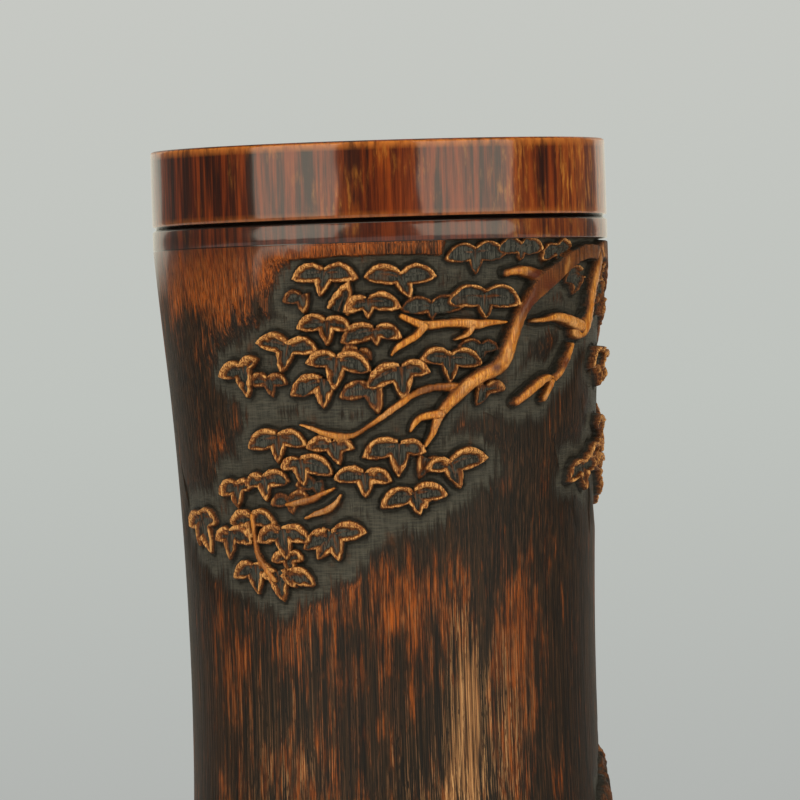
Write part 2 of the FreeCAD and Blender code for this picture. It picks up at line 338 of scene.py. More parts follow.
# Leaves of the usual shape, on the side and back: (turn, height, size, tilt in degrees).
SIDE_LEAVES = (
    (90.0, 137.0, 0.9, -6.0),
    (96.0, 130.4, 0.85, 8.0),
    (88.0, 118.6, 0.9, 4.0),
    (121.0, 136.0, 0.95, -8.0),
    (134.0, 133.5, 1.0, 6.0),
    (147.0, 130.0, 0.95, -6.0),
    (160.0, 125.5, 0.9, 8.0),
    (126.0, 124.0, 0.95, -6.0),
    (139.0, 121.0, 1.0, 4.0),
    (152.0, 117.0, 1.0, -6.0),
    (128.0, 114.0, 0.9, 10.0),
    (142.0, 110.5, 1.0, -8.0),
    (155.0, 106.0, 0.95, 6.0),
    (84.0, 104.6, 0.72, -10.0),
    (77.0, 99.6, 0.75, 10.0),
    (87.0, 96.4, 0.9, -6.0),
    (98.0, 92.0, 0.9, 8.0),
    (131.0, 96.0, 1.0, -8.0),
    (144.0, 92.5, 0.95, 6.0),
    (137.0, 86.0, 0.95, -4.0),
)
LEAF_SPREAD = 7.8
LEAF_DROP = 2.6
LEAF_HANG = 6.8
# Side leaves are carved lower, and their crests are painted darker as shade.
SIDE_BOLDNESS_AND_SHADE = 0.86


def side_leaf(turn, height, size, tilt):
    """The usual leaf, written out as its meeting point and its lobes' tips."""
    scale = degree_width(height)
    lean = math.radians(tilt)
    tips = []
    for across, up in ((-LEAF_SPREAD, -LEAF_DROP), (0.4, -LEAF_HANG), (LEAF_SPREAD, -LEAF_DROP)):
        x = (across * math.cos(lean) - up * math.sin(lean)) * size
        z = (across * math.sin(lean) + up * math.cos(lean)) * size
        tips.append((turn + x / scale, height + z))
    return (turn, height), tips, SIDE_BOLDNESS_AND_SHADE


def ground_depth(height):
    """How far the carved ground lies under the bare culm: deepest just under the band."""
    return 0.45 + 1.2 * ease(108.0, 138.0, height)


def crest_height(turn, height):
    """How far the boldest carving stands above its ground: more on the right of the pot."""
    lift = 1.05 + 1.0 * ease(-30.0, 60.0, turn) - 0.3 * ease(150.0, 175.0, turn)
    room = MOUTH - 0.2 - bare_radius(height)
    return min(lift, room) + ground_depth(height)


def lay_leaf(meeting, tips, boldness_and_shade):
    """Carve one leaf: a raised rim, wide along its upper edge, round a dished middle."""
    reach = MARGIN + max(math.hypot((t[0] - meeting[0]) * DEGREE, t[1] - meeting[1]) for t in tips)
    patch, dx, dz, scale = window(*meeting, reach)
    local = [((t[0] - meeting[0]) * scale, t[1] - meeting[1]) for t in tips]
    knife = 0.13 * lattice_noise(dx * 1.5 + meeting[0], dz * 1.5 + meeting[1], 5)
    distance, rib = leaf_distance(dx, dz, local)
    outline = distance + knife
    relief.near[patch] = np.minimum(relief.near[patch], outline)
    inside = -outline
    step = 0.5
    raised = leaf_distance(dx, dz + step, local)[0]
    upward = np.clip((raised - distance) / step, -1.0, 1.0)
    wobble = 0.3 * lattice_noise(dx * 0.7 + meeting[1], dz * 0.7, 7)
    fine = ease(112.0, 126.0, meeting[1]) * ease(0.0, 20.0, meeting[0])
    rim = (0.9 + 0.22 * upward + wobble) * (1 - 0.42 * fine)
    hollow = ease(rim * 0.42, rim * 1.65, inside)
    shoulder = ease(-0.05, 0.42, inside)
    bold = crest_height(*meeting) * boldness_and_shade
    crown = 1.0 + 0.1 * upward - 0.02 * np.hypot(dx, dz) + wobble * 0.4
    midrib = 0.26 * np.exp(-((rib / 0.4) ** 2)) * ease(0.5, 1.2, inside)
    height = bold * (crown * (0.72 + 0.28 * shoulder) * (1 - hollow) + (0.18 + midrib) * hollow)
    # The crest is wear rubbed through the stain, with a painted highlight along each lobe's upper edge: its
    # share of upward.
    crest = (1 - hollow) * (0.45 + 0.55 * shoulder) * (0.97 + 0.1 * upward + 0.6 * wobble)
    cover = ease(-0.14, 0.14, inside)
    cut = 0.34 * np.exp(-(((inside + 0.3) / 0.32) ** 2))
    relief.height[patch] -= cut * boldness_and_shade
    # Painted shade: a leaf of less boldness gets a darker crest as well as lower carving.
    crest = (crest + midrib * 1.5) * boldness_and_shade
    relief.lay(patch, cover, height=height, limb=0.0, crest=crest, hollow=hollow)


# ---- limbs and twigs
# Each limb: (turn, height, width) stations along its middle line.
MAIN_LIMB = (
    (76.0, 139.6, 2.6), (72.0, 140.3, 2.7), (66.0, 140.5, 2.7), (60.0, 139.6, 2.9),
    (55.0, 138.0, 3.1), (50.0, 135.8, 3.6), (45.5, 133.8, 4.0), (41.5, 131.0, 2.7),
    (38.2, 127.8, 2.3), (36.0, 124.6, 2.6), (34.0, 121.0, 3.0), (32.2, 118.0, 3.5),
    (29.5, 116.0, 3.2), (25.5, 114.6, 2.8), (22.0, 112.8, 2.7), (19.0, 110.8, 2.6),
    (16.0, 108.4, 2.2), (13.6, 105.6, 1.7), (12.3, 102.8, 1.4), (10.4, 100.2, 0.8),
)
FRONT_LIMBS = (
    ((5.0, 127.6, 1.2), (8.0, 126.4, 1.6), (10.8, 125.6, 1.8), (15.0, 125.8, 1.8),
     (20.0, 125.9, 1.8), (25.0, 125.5, 1.9), (29.0, 125.8, 1.3), (33.2, 125.8, 0.6)),
    ((10.6, 125.3, 1.7), (8.6, 123.5, 1.6), (5.8, 122.1, 1.5), (3.6, 121.0, 1.3), (2.2, 119.6, 0.5)),
    ((23.6, 125.0, 1.1), (22.4, 123.6, 1.1), (20.8, 122.9, 0.7), (19.0, 122.4, 0.4)),
    ((-23.0, 105.4, 0.4), (-20.0, 104.6, 0.8), (-17.0, 103.6, 1.2), (-13.0, 102.8, 1.4),
     (-9.0, 102.8, 1.1), (-5.0, 104.4, 0.9), (0.0, 107.0, 1.2), (4.0, 109.2, 1.4),
     (7.5, 111.0, 1.3), (11.0, 112.1, 1.4), (15.0, 112.5, 1.6), (19.5, 112.2, 2.0)),
    ((46.0, 134.6, 3.2), (42.0, 136.0, 2.4), (38.0, 136.6, 1.9), (35.0, 136.4, 1.5), (33.6, 136.2, 1.6)),
    MAIN_LIMB,
    ((14.5, 106.8, 1.8), (12.0, 106.6, 1.6), (9.0, 106.0, 1.4), (7.4, 104.6, 1.1), (6.6, 103.4, 0.6)),
    ((75.5, 139.4, 2.6), (73.0, 136.8, 3.0), (70.5, 134.0, 3.2), (68.2, 130.6, 3.2),
     (67.0, 127.4, 3.3), (64.5, 124.8, 3.8), (61.0, 123.6, 3.4), (58.6, 123.2, 2.0)),
    ((62.0, 124.6, 2.6), (58.0, 125.4, 2.4), (54.0, 126.3, 2.1), (50.0, 126.6, 1.6),
     (46.0, 126.1, 1.1), (42.0, 125.9, 0.6)),
    ((57.2, 120.6, 1.2), (55.0, 118.2, 1.7), (52.0, 115.2, 1.8), (49.4, 113.2, 1.5)),
    ((49.4, 113.6, 1.2), (46.5, 113.6, 1.7), (43.0, 112.2, 1.9), (39.0, 110.2, 1.9), (36.4, 108.9, 1.7)),
    ((49.0, 112.9, 1.3), (47.4, 111.0, 1.3), (45.9, 109.3, 1.2)),
    ((-14.5, 91.8, 0.5), (-17.5, 90.8, 1.0), (-21.0, 89.6, 1.5), (-25.0, 89.0, 1.2), (-28.5, 88.6, 0.7)),
    ((-12.8, 90.3, 0.4), (-14.4, 88.6, 0.9), (-16.5, 87.4, 1.3), (-20.0, 86.5, 1.1), (-23.2, 85.6, 0.5)),
    ((-40.0, 86.4, 1.2), (-39.6, 82.0, 1.0), (-39.0, 78.3, 1.2), (-36.5, 75.2, 1.1), (-33.5, 72.6, 0.9)),
)
SIDE_BRANCHES = (
    ((110.0, 120.0, 3.6), (117.0, 124.0, 3.0), (126.0, 126.6, 2.4), (136.0, 125.0, 2.0),
     (145.0, 121.0, 1.6), (153.0, 118.5, 1.1)),
    ((113.0, 98.0, 3.6), (121.0, 101.0, 2.9), (129.0, 100.2, 2.2), (137.0, 96.0, 1.7), (143.0, 90.0, 1.2)),
    ((111.5, 109.0, 3.0), (104.0, 106.0, 2.1), (96.0, 101.5, 1.6), (87.0, 98.0, 1.2)),
)
TRUNK = (
    (74.0, 140.2, 3.0), (82.0, 141.0, 3.6), (91.0, 139.6, 4.6), (100.0, 134.4, 5.4),
    (107.0, 126.5, 6.0), (111.0, 115.0, 6.6), (113.0, 102.0, 7.2), (115.0, 88.0, 7.8),
    (118.0, 70.0, 8.4), (119.0, 54.0, 9.2), (122.0, 38.0, 10.4), (127.0, 26.0, 12.5),
    (131.0, 16.0, 15.0),
)
STEPS_PER_STATION = 8
# A limb is cut a little wider than its stations say.
LIMB_FULLNESS = 1.15


def spread_limb(stations):
    """Points along a smooth line through a limb's stations, as many rows of turn, height, width."""
    knots = np.array(stations)
    places = np.arange(len(knots), dtype=float)
    steps = np.linspace(0.0, len(knots) - 1, (len(knots) - 1) * STEPS_PER_STATION + 1)
    return np.stack(
        [smooth_curve(tuple(zip(places, knots[:, k])), steps) for k in range(3)], axis=1
    )


def lay_limb(stations):
    """Carve one limb: a rounded rib along its line, with furrows and scales where it is thick."""
    line = spread_limb(stations)
    middle_turn = (line[:, 0].min() + line[:, 0].max()) / 2
    middle_height = (line[:, 1].min() + line[:, 1].max()) / 2
    half_span = max(np.ptp(line[:, 0]) * WIDE_DEGREE, np.ptp(line[:, 1])) / 2
    reach = half_span + LIMB_FULLNESS * line[:, 2].max() / 2 + LIMB_MARGIN
    patch, dx, dz, scale = window(middle_turn, middle_height, reach)
    nearest = np.full(dx.shape, FAR_OFF)
    half = np.zeros(dx.shape)
    along = np.zeros(dx.shape)
    aside = np.zeros(dx.shape)
    gone = 0.0
    for start, end in zip(line[:-1], line[1:]):
        x0, z0 = (start[0] - middle_turn) * scale, start[1] - middle_height
        x1, z1 = (end[0] - middle_turn) * scale, end[1] - middle_height
        length = math.hypot(x1 - x0, z1 - z0)
        part = np.clip(((dx - x0) * (x1 - x0) + (dz - z0) * (z1 - z0)) / length**2, 0.0, 1.0)
        away = np.hypot(dx - x0 - part * (x1 - x0), dz - z0 - part * (z1 - z0))
        width = LIMB_FULLNESS * (start[2] + part * (end[2] - start[2])) / 2
        closer = away - width < nearest - half
        nearest = np.where(closer, away, nearest)
        half = np.where(closer, width, half)
        along = np.where(closer, gone + part * length, along)
        aside = np.where(closer, ((dx - x0) * (z1 - z0) - (dz - z0) * (x1 - x0)) / length, aside)
        gone += length
    knife = 0.13 * lattice_noise(dx * 1.1, dz * 1.1 + middle_height, 3)
    knife = knife + 0.07 * lattice_noise(dx * 2.7, dz * 2.7 + middle_height, 4)
    outline = nearest - half + knife
    relief.near[patch] = np.minimum(relief.near[patch], outline)
    bold = crest_height(middle_turn, middle_height) * (0.8 + 0.25 * ease(0.5, 1.5, half))
    dome = np.sqrt(np.clip(1 - (nearest / (half + 0.12)) ** 2, 0.0, 1.0))
    furrow = ease(1.6, 3.4, half) * lattice_noise(aside * 1.15, along * 0.16, 12)
    knot = lattice_noise(aside * 0.5, along * 0.5, 13) * ease(0.8, 3.0, half)
    scale_edge, scale_level = cells(aside * 0.45 + 9.0, along * 0.22, 14)
    scales = ease(2.3, 3.1, half) * (0.35 * scale_level - 0.5 * np.exp(-((scale_edge / 0.14) ** 2)))
    bark = 0.05 * lattice_noise(dx * 1.3, dz * 1.3, 11) + 0.13 * furrow + 0.08 * knot + 0.3 * scales
    cover = ease(-0.1, 0.16, -outline)
    height = bold * (0.42 + 0.58 * dome + bark)
    cut = 0.3 * np.exp(-(((outline - 0.3) / 0.32) ** 2))
    relief.height[patch] -= cut
    crest = dome**1.6 * (1 + 0.45 * np.minimum(furrow, 0.0) + 1.1 * scales)
    relief.lay(patch, cover, height=height, limb=1.0, crest=crest, hollow=0.0)


# ---- rocks at the tree's foot
# (turn, height, half width in degrees, half height in millimetres)
ROCKS = (
    (156.0, 9.0, 12.0, 7.0),
    (142.0, 15.0, 13.0, 12.0),
    (100.0, 22.0, 12.0, 12.0),
    (88.0, 17.0, 9.0, 10.5),
    (113.0, 15.0, 13.0, 13.0),
    (129.0, 9.0, 13.0, 9.0),
    (97.0, 8.0, 12.0, 7.5),
)


def lay_rock(turn, height, half_turn, half_height):
    """Carve one rock: a lump of flat faces at different levels, with chisel strokes on them."""
    patch, dx, dz, scale = window(turn, height, max(half_turn * DEGREE, half_height) + MARGIN)
    ragged = 0.2 * lattice_noise(dx * 0.3 + turn, dz * 0.3, 21)
    ragged = ragged + 0.05 * lattice_noise(dx * 1.3, dz * 1.3 + turn, 22)
    inside = (1 - ragged - np.hypot(dx / (half_turn * scale), dz / half_height)) * half_height
    relief.near[patch] = np.minimum(relief.near[patch], -inside)
    lean = dx * 0.24 + 0.04 * dz + turn
    edge, level = cells(lean + 0.3 * ragged, dz * 0.13 + 0.05 * dx, 23)
    seam = np.exp(-((edge / 0.09) ** 2))
    strokes = 0.5 * lattice_noise(dx * 1.4 + dz * 0.5, dz * 0.2, 24)
    face = 0.3 + 0.45 * ease(-0.3, 3.0, inside) + 0.3 * level - 0.16 * seam + 0.08 * strokes
    rubbed = 0.12 + 0.42 * level + 0.5 * strokes * level - 0.3 * seam
    cover = ease(-0.1, 0.3, inside)
    relief.height[patch] -= 0.35 * np.exp(-(((inside + 0.35) / 0.4) ** 2))
    bold = crest_height(turn, height) + 0.5
    hollow = 0.5 * (1 - level)
    relief.lay(patch, cover, height=bold * face, limb=0.3, crest=rubbed, hollow=hollow)


def carve():
    """The culm's radius all over, where the dark stain lies, and how dark the painted shade on the ground
    round the carving is.
    """
    for leaf in LEAVES_BEHIND:
        lay_leaf(*leaf)
    for limb in SIDE_BRANCHES:
        lay_limb(limb)
    for leaf in FRONT_LEAVES:
        lay_leaf(*leaf)
    for leaf in SIDE_LEAVES:
        lay_leaf(*side_leaf(*leaf))
    lay_limb(TRUNK)
    for limb in FRONT_LIMBS:
        lay_limb(limb)
    for rock in ROCKS:
        lay_rock(*rock)
    wander = lattice_noise(TURN * 0.12, HEIGHT * 0.12, 31)
    ground = 1 - ease(2.6, 8.0, relief.near + 1.6 * wander)
    ragged = 0.3 * lattice_noise(TURN * 0.3, HEIGHT * 0.3, 32)
    kept = ease(140.2, 140.8, HEIGHT + ragged) * (1 - ease(15.5, 17.5, TURN + 2 * ragged))
    ground = ground * (1 - kept)
    engraved = np.exp(-(((HEIGHT - BAND_LOW + 0.15) / 0.16) ** 2)) * ease(-24.0, -16.0, TURN)
    stain = 1 - ease(0.8, 7.0, relief.near + 1.8 * wander)
    stain = stain * (1 - kept)
    radius = BARE - ground * ground_depth(HEIGHT) + relief.height * (relief.near < 4.0) - 0.25 * engraved
    off = np.maximum(relief.near, 0.0)
    # Painted shade: the ground is darkened close round every raised outline, most within about a
    # millimetre.
    crevice_shade = ground * (0.5 * np.exp(-((off / 0.7) ** 2)) + 0.5 * np.exp(-((off / 2.2) ** 2)))
    return np.minimum(radius, MOUTH), stain, crevice_shade


def peg_holes(radius):
    """Shallow pits that show the floor pegs' ends."""
    for turn in PEG_TURNS:
        off = (TURN - turn) * math.radians(1.0) * PEG_END
        away = np.hypot(off, HEIGHT - PEG_LEVEL)
        radius = np.where(away < PEG_RADIUS, np.minimum(radius, PEG_END - PEG_PIT), radius)
    return radius


# ---- building meshes
def turned_point(turn, radius, height):
    """The place, in metres, at a turn in degrees from the front, a radius and a height."""
    angle = np.radians(turn)
    return np.stack(
        [radius * np.sin(angle) * MM, -radius * np.cos(angle) * MM, height * MM], axis=-1
    )


def closed_grid(name, turns, radii, heights):
    """A closed tube: every row goes once round the pot, and the last row joins the first.

    radii and heights have one row for each ring of points and one column for each turn.
    """
    rows, columns = radii.shape
    points = turned_point(np.broadcast_to(turns, radii.shape), radii, heights)
    base = np.arange(rows)[:, None] * columns
    above = np.roll(base, -1, axis=0)
    column = np.arange(columns)
    beside = np.roll(column, -1)
    corners = (base + column, base + beside, above + beside, above + column)
    corners = np.stack(corners, axis=-1).reshape(-1, 4)
    mesh = bpy.data.meshes.new(name)
    mesh.vertices.add(rows * columns)
    mesh.vertices.foreach_set("co", points.reshape(-1))
    mesh.loops.add(corners.size)
    mesh.loops.foreach_set("vertex_index", corners.reshape(-1))
    mesh.polygons.add(len(corners))
    mesh.polygons.foreach_set("loop_start", np.arange(0, corners.size, 4))
    mesh.update(calc_edges=True)
    lay_out_texture(mesh, rows, columns)
    mesh.polygons.foreach_set("use_smooth", np.ones(len(corners), dtype=bool))
    piece = bpy.data.objects.new(name, mesh)
    bpy.context.scene.collection.objects.link(piece)
    return piece


def lay_out_texture(mesh, rows, columns):
    """The texture map, named OFBake: the turn across it, the rows up it."""
    across = np.arange(columns)[None, :, None] + np.array([0, 1, 1, 0])[None, None, :]
    up = np.arange(rows)[:, None, None] + np.array([0, 0, 1, 1])[None, None, :]
    across, up = np.broadcast_arrays(across / columns, up / rows)
    layer = mesh.uv_layers.new(name="OFBake")
    layer.uv.foreach_set("vector", np.stack([across, up], axis=-1).astype(np.float32).reshape(-1))


def paint(piece, name, amounts):
    """Give every vertex a number that the material can read."""
    attribute = piece.data.attributes.new(name, "FLOAT", "POINT")
    attribute.data.foreach_set("value", amounts.astype(np.float32).reshape(-1))


def blobs(spots):
    """A soft patch for each (turn, height, half width in degrees, half height, strength)."""
    total = np.zeros(TURN.shape)
    for turn, height, wide, tall, strength in spots:
        away = np.hypot((TURN - turn) / wide, (HEIGHT - height) / tall)
        total = total + strength * (1 - ease(0.1, 1.15, away))
    return total


# Where the stain is thin and the bamboo glows orange, and where it is worn pale.
# Spots of negative strength make it darker and less orange. Among them are the pot's flanks, left and right
# as seen from the front.
WARM_SPOTS = (
    (-52.0, 140.0, 48.0, 14.0, 1.9),
    (-64.0, 113.0, 22.0, 14.0, -0.45),
    (-4.0, 143.0, 30.0, 5.0, 1.2),
    (-52.0, 101.0, 10.0, 7.0, 0.3),
    (34.0, 92.0, 46.0, 22.0, -0.45),
    (-8.0, 66.0, 34.0, 15.0, 0.75),
    (14.0, 60.0, 18.0, 24.0, 0.4),
    (35.0, 54.0, 10.0, 42.0, 0.9),
    (-48.0, 58.0, 20.0, 18.0, 0.6),
    (-30.0, 28.0, 34.0, 18.0, 0.6),
    (-76.0, 80.0, 16.0, 60.0, -0.5),
    (68.0, 50.0, 20.0, 46.0, -0.4),
    (225.0, 120.0, 34.0, 28.0, 1.1),
    (205.0, 60.0, 18.0, 34.0, 0.7),
    (262.0, 60.0, 16.0, 30.0, 0.6),
)
DARK_LIMB_SPOTS = (
    (45.0, 134.6, 9.0, 4.0, 1.5),
    (40.0, 129.5, 5.0, 4.6, 1.1),
    (36.8, 124.6, 2.0, 6.0, 0.6),
    (29.5, 116.2, 2.2, 1.6, 0.9),
    (-21.0, 88.5, 11.0, 4.5, 0.6),
    (-38.5, 79.0, 4.0, 8.0, 0.5),
    (52.5, 117.0, 4.0, 2.6, 0.9),
    (12.0, 112.0, 12.0, 3.0, 0.7),
    (-6.0, 104.0, 12.0, 3.0, 0.6),
    (60.0, 127.0, 5.0, 1.6, 0.5),
    (110.0, 118.0, 12.0, 8.0, 0.7),
    (118.0, 72.0, 9.0, 20.0, 0.6),
    (128.0, 24.0, 12.0, 12.0, 0.7),
)
PALE_SPOTS = (
    (19.5, 36.0, 8.5, 40.0, 1.1),
    (31.0, 38.0, 11.0, 32.0, 0.5),
    (6.0, 28.0, 16.0, 22.0, 0.35),
    (-34.0, 34.0, 26.0, 32.0, 0.35),
    (222.0, 70.0, 14.0, 34.0, 0.6),
)


BAND_RADIUS = MOUTH - 0.04


def plain_profile():
    """(height, radius) from the carving's top: up the band and spigot, down the bore and rabbet."""
    groove_low = SEAT - GROOVE_HALF
    return (
        (BAND_LOW + 0.12, BAND_RADIUS - 0.15),
        (BAND_LOW + 0.35, BAND_RADIUS),
        (BAND_LOW + 1.6, BAND_RADIUS),
        (SEAT - 1.6, BAND_RADIUS),
        (groove_low - 0.12, BAND_RADIUS),
        (groove_low + 0.1, BAND_RADIUS - 0.18),
        (SEAT, BAND_RADIUS - GROOVE_DEPTH),
        (SEAT, SPIGOT),
        (SPIGOT_TOP - 0.3, SPIGOT),
        (SPIGOT_TOP, SPIGOT - 0.3),
        (SPIGOT_TOP, BORE + 0.3),
        (SPIGOT_TOP - 0.3, BORE),
        *((height, BORE) for height in np.arange(SPIGOT_TOP - 4.0, RABBET_TOP + 2.0, -4.0)),
        (RABBET_TOP, BORE),
        (RABBET_TOP, RABBET),
        (FOOT_TOP, RABBET),
        (FOOT_TOP, 44.9),
    )


def culm():
    """The carved wall, one closed skin: the carving, then everything in plain_profile."""
    radius, stain, crevice_shade = carve()
    radius = peg_holes(radius)
    profile = np.array(plain_profile())
    inner_radii = profile[:, 1:]
    wide_heights = np.broadcast_to(profile[:, :1], (len(profile), len(TURNS)))
    wide_turns = np.broadcast_to(TURNS, wide_heights.shape)
    bore = (inner_radii == BORE) & (wide_heights < SEAT)
    scrape = 0.12 * lattice_noise(wide_turns / KNOT_TURN, wide_heights / 23.0, 41, KNOTS_ROUND)
    wide_radii = inner_radii + np.where(bore, scrape, 0.0)
    radii = np.concatenate((radius, wide_radii))
    heights = np.concatenate((HEIGHT, wide_heights))
    piece = closed_grid("carved_culm", TURNS, radii, heights)
    above = wide_heights > BAND_LOW
    skin = np.zeros(wide_radii.shape)
    plain = np.zeros(TURN.shape)
    fade = ease(BAND_LOW - 2.2, BAND_LOW, HEIGHT) * (1 - ease(-22.0, -16.0, TURN)) * 0.8
    # Painted shade: the V-groove's faces are marked here to be coloured near-black.
    groove = above * (inner_radii < BAND_RADIUS - 0.1) * (inner_radii > SPIGOT)
    for name, carved, rest in (
        ("crest", relief.crest, skin),
        ("limb", relief.limb, skin),
        ("hollow", relief.hollow, skin),
        ("stain", stain, skin),
        ("crevice_shade", crevice_shade, skin),
        ("warm", blobs(WARM_SPOTS), skin + 0.4),
        ("dusk", blobs(DARK_LIMB_SPOTS), skin),
        ("pale", blobs(PALE_SPOTS), skin),
        ("groove", plain, groove),
        ("polish", fade, above * (inner_radii > SPIGOT + 1.0)),
        ("inside", plain, skin + (inner_radii < SPIGOT + 0.1)),
    ):
        paint(piece, name, np.concatenate((carved, rest)))
    return piece


CULM_FACES = 196000


def thin_out(piece, faces):
    """Take away the faces that the shape doesn't need, until about that many are left."""
    modifier = piece.modifiers.new("thin", "DECIMATE")
    modifier.ratio = faces / (2 * len(piece.data.polygons))
    with bpy.context.temp_override(object=piece, active_object=piece):
        bpy.ops.object.modifier_apply(modifier=modifier.name)


def mouth_ring():
    """The turned lip: rounded edges, a chamfer into the groove, and a slightly uneven face."""
    outer_round = 0.8
    inner_round = 2.5
    counterbore = SPIGOT + CLEARANCE
    profile = [(SEAT + GROOVE_HALF - 0.12, MOUTH - GROOVE_DEPTH + 0.45), (SEAT + GROOVE_HALF, MOUTH - 0.05)]
    profile += [(height, MOUTH) for height in np.arange(SEAT + 1.2, TOP - 1.4, 0.9)]
    for angle in np.radians(np.arange(0.0, 91.0, 15.0)):
        across = MOUTH - outer_round * (1 - math.cos(angle))
        profile.append((TOP - outer_round * (1 - math.sin(angle)), across))
    profile.append((TOP, (MOUTH + BORE) / 2))
    for angle in np.radians(np.arange(90.0, -1.0, -10.0)):
        across = BORE + inner_round * (1 - math.cos(angle))
        profile.append((TOP - inner_round * (1 - math.sin(angle)), across))
    profile += [
        (SPIGOT_TOP + 4.0, BORE),
        (SPIGOT_TOP + 0.35, BORE),
        (SPIGOT_TOP + 0.35, counterbore),
        (SEAT, counterbore),
        (SEAT, MOUTH - GROOVE_DEPTH),
    ]
    turns = np.arange(0.0, 360.0, 0.75)
    outline = np.array(profile)
    heights = outline[:, :1] + 0 * turns
    radii = outline[:, 1:] + 0 * turns
    uneven = 0.035 * lattice_noise(turns / KNOT_TURN + 0 * heights, heights / 6.0, 51, KNOTS_ROUND)
    outside = radii > MOUTH - 0.2
    radii = np.where(outside, radii - 0.04 + uneven, radii)
    piece = closed_grid("lacquered_lip_ring", turns, radii, heights)
    rub = ease(TOP - 1.7, TOP - 0.5, heights) * outside
    above_groove = 1 - ease(SEAT + GROOVE_HALF, SEAT + 1.7, heights)
    paint(piece, "rub", np.maximum(rub, 0.55 * above_groove * outside))
    # Painted shade: the groove's faces on the ring are marked to be coloured near-black.
    paint(piece, "groove", above_groove * (radii < MOUTH - 0.3))
    return piece


# ---- materials
def colour(red, green, blue):
    """A colour as it looks on a screen, 0 to 255, in the linear numbers that shading uses."""
    shares = (channel / 255 for channel in (red, green, blue))
    linear = (s / 12.92 if s <= 0.04045 else ((s + 0.055) / 1.055) ** 2.4 for s in shares)
    return (*linear, 1.0)


SOCKETS = {
    "base_color": "Base Color",
    "roughness": "Roughness",
    "specular_ior_level": "Specular IOR Level",
    "coat_weight": "Coat Weight",
    "coat_roughness": "Coat Roughness",
}


class Finish:
    """One material's nodes, written as small sums."""

    def __init__(self, name):
        self.material = bpy.data.materials.new(name)
        self.material.use_nodes = True
        self.tree = self.material.node_tree
        self.skin = self.tree.nodes["Principled BSDF"]
        place = self.tree.nodes.new("ShaderNodeTexCoord")
        self.place = self.maths_vector(place.outputs["Object"], 1 / MM)

    def put(self, socket, value):
        """Link a socket to another, or set it to a plain value."""
        if isinstance(value, bpy.types.NodeSocket):
            self.tree.links.new(value, socket)
        else:
            socket.default_value = value

    def maths_vector(self, vector, factor):
        """A vector times one number, or times one for each axis."""
        node = self.tree.nodes.new("ShaderNodeVectorMath")
        node.operation = "MULTIPLY"
        self.put(node.inputs[0], vector)
        self.put(node.inputs[1], factor if isinstance(factor, tuple) else (factor,) * 3)
        return node.outputs[0]

    def maths(self, kind, first, second):
        """One sum of two numbers, each a socket or a plain value."""
        node = self.tree.nodes.new("ShaderNodeMath")
        node.operation = kind
        self.put(node.inputs[0], first)
        self.put(node.inputs[1], second)
        return node.outputs[0]

    def add(self, first, second):
        """first and second, added up."""
        return self.maths("ADD", first, second)

    def minus(self, first, second):
        """first less second."""
        return self.maths("SUBTRACT", first, second)

    def times(self, first, second):
        """first times second."""
        return self.maths("MULTIPLY", first, second)

    def larger(self, first, second):
        """The larger of first and second."""
        return self.maths("MAXIMUM", first, second)

    def total(self, *shares):
        """The sum of some values, each times its share."""
        return functools.reduce(self.add, [self.times(value, share) for value, share in shares])

    def span(self, value, low, high, start=0.0, end=1.0):
        """start where value is low, end where it is high, smooth between."""
        node = self.tree.nodes.new("ShaderNodeMapRange")
        node.interpolation_type = "SMOOTHSTEP"
        for socket, amount in zip(node.inputs, (value, low, high, start, end)):
            self.put(socket, amount)
        return node.outputs[0]

    def noise(self, size, detail=3.0, roughness=0.55, distortion=0.0):
        """Noise of a size in millimetres, which is one number or one for each axis."""
        sizes = size if isinstance(size, tuple) else (size,) * 3
        node = self.tree.nodes.new("ShaderNodeTexNoise")
        self.put(node.inputs["Vector"], self.maths_vector(self.place, tuple(1 / s for s in sizes)))
        self.put(node.inputs["Scale"], 1.0)
        self.put(node.inputs["Detail"], detail)
        self.put(node.inputs["Roughness"], roughness)
        self.put(node.inputs["Distortion"], distortion)
        return node.outputs[0]

    def place_along(self, axis):
        """How far along one axis a point is, in millimetres."""
        node = self.tree.nodes.new("ShaderNodeSeparateXYZ")
        self.put(node.inputs[0], self.place)
        return node.outputs[axis]

    def read(self, name):
        """The number that paint gave every vertex under that name."""
        node = self.tree.nodes.new("ShaderNodeAttribute")
        node.attribute_name = name
        return node.outputs["Fac"]

    def mix(self, amount, first, second):
        """The first colour where amount is 0, the second where it is 1."""
        node = self.tree.nodes.new("ShaderNodeMix")
        node.data_type = "RGBA"
        self.put(node.inputs["Factor"], amount)
        self.put(node.inputs["A"], first)
        self.put(node.inputs["B"], second)
        return node.outputs["Result"]

    def bump(self, height, distance):
        """Raise the surface by height times distance, in millimetres."""
        node = self.tree.nodes.new("ShaderNodeBump")
        self.put(node.inputs["Height"], height)
        self.put(node.inputs["Distance"], distance * MM)
        self.put(node.inputs["Strength"], 1.0)
        self.put(self.skin.inputs["Normal"], node.outputs[0])

    def set(self, **sockets):
        """Put values on the shader's own sockets, by their names in SOCKETS."""
        for name, value in sockets.items():
            self.put(self.skin.inputs[SOCKETS[name]], value)


